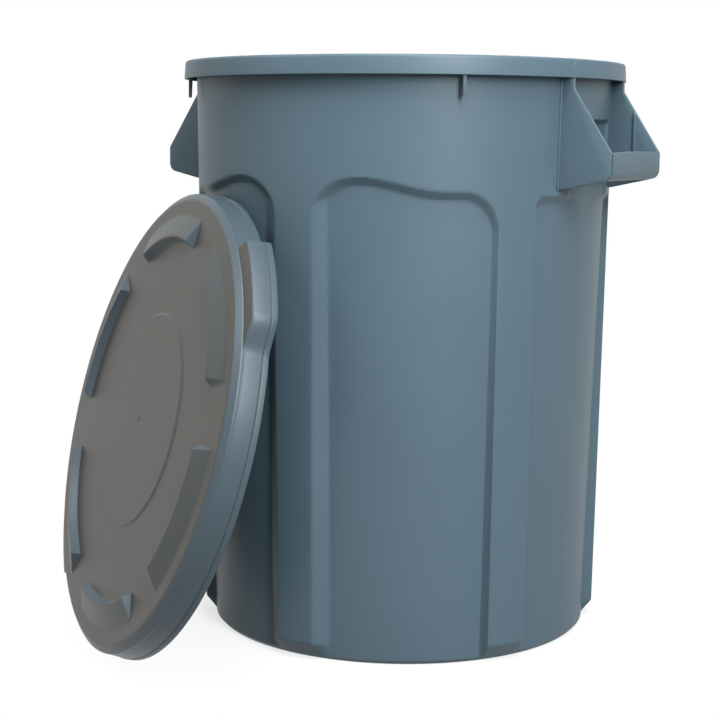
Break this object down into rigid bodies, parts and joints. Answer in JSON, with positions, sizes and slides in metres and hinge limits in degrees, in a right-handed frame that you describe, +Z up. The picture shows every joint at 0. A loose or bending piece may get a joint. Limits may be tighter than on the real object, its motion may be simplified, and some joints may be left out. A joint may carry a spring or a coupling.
{
  "type": "trash can",
  "caption": "Tall round moulded plastic waste can with recessed wavy side panels, loop side handles and a loose round lid leaning on it.",
  "frame": {"origin": "centre of the can's base on the floor", "axes": "+Z up along the can's axis, +X out through the middle of one handle"},
  "size_m": [0.7231, 0.7463, 0.7],
  "materials": {
    "can_plastic": "satin",
    "lid_plastic": "satin"
  },
  "bodies": {
    "can": {"container": "can_plastic"},
    "lid": {"lid": "lid_plastic"}
  },
  "joints": [
    {"name": "lid_lift", "type": "slide", "parent": "can", "child": "lid", "axis": [-0.4046, -0.5799, 0.7071], "range_m": [0, 0.7]}
  ]
}
